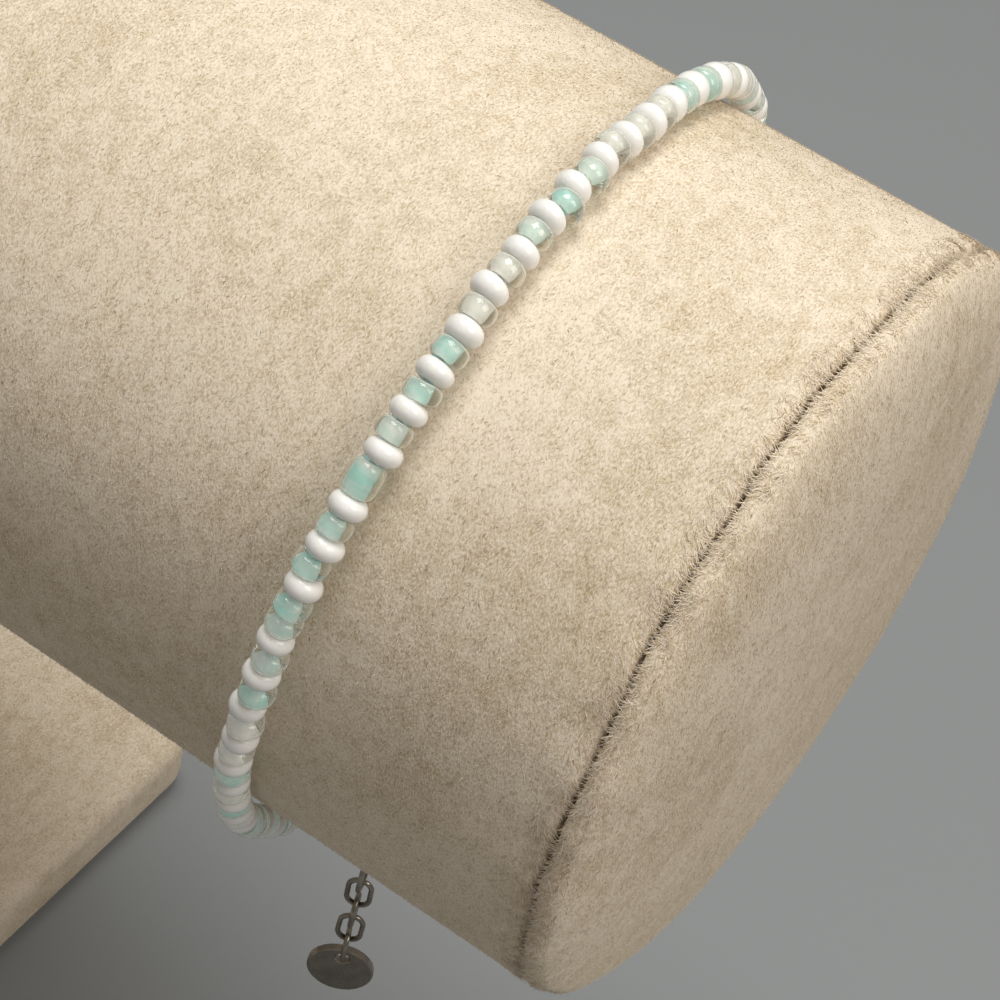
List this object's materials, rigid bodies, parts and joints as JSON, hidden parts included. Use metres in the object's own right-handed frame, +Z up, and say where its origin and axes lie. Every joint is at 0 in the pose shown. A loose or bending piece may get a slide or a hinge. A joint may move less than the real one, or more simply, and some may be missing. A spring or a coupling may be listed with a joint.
{
  "type": "beaded bracelet on display stand",
  "caption": "Thin single-strand bracelet of white, mint and clear glass seed beads, fastened round the beige velvet roll of a T-bar jewellery stand.",
  "frame": {"origin": "middle of the base plate's underside, on the surface that the stand rests on", "axes": "+X along the roll towards the end that carries the bracelet, +Y to the back of the stand, +Z up"},
  "size_m": [0.2066, 0.068, 0.1389],
  "materials": {
    "velvet": "short-pile velvet",
    "bead_glass": "gloss",
    "plated_metal": "polished silver plate"
  },
  "bodies": {
    "root": {"base_plate": "velvet", "roll_post": "velvet", "roll_sleeve": "velvet", "end_cap_right": "velvet", "end_cap_left": "velvet", "bead_string": "bead_glass", "end_tip_front": "plated_metal", "end_tip_back": "plated_metal", "chain_ring": "plated_metal", "clasp_ring": "plated_metal", "lobster_clasp": "plated_metal", "extension_link_01": "plated_metal", "extension_link_02": "plated_metal", "extension_link_03": "plated_metal", "extension_link_04": "plated_metal", "extension_link_05": "plated_metal", "extension_link_06": "plated_metal", "extension_link_07": "plated_metal", "extension_link_08": "plated_metal", "extension_link_09": "plated_metal", "extension_link_10": "plated_metal", "extension_link_11": "plated_metal", "extension_link_12": "plated_metal", "end_tag": "plated_metal"}
  },
  "joints": []
}
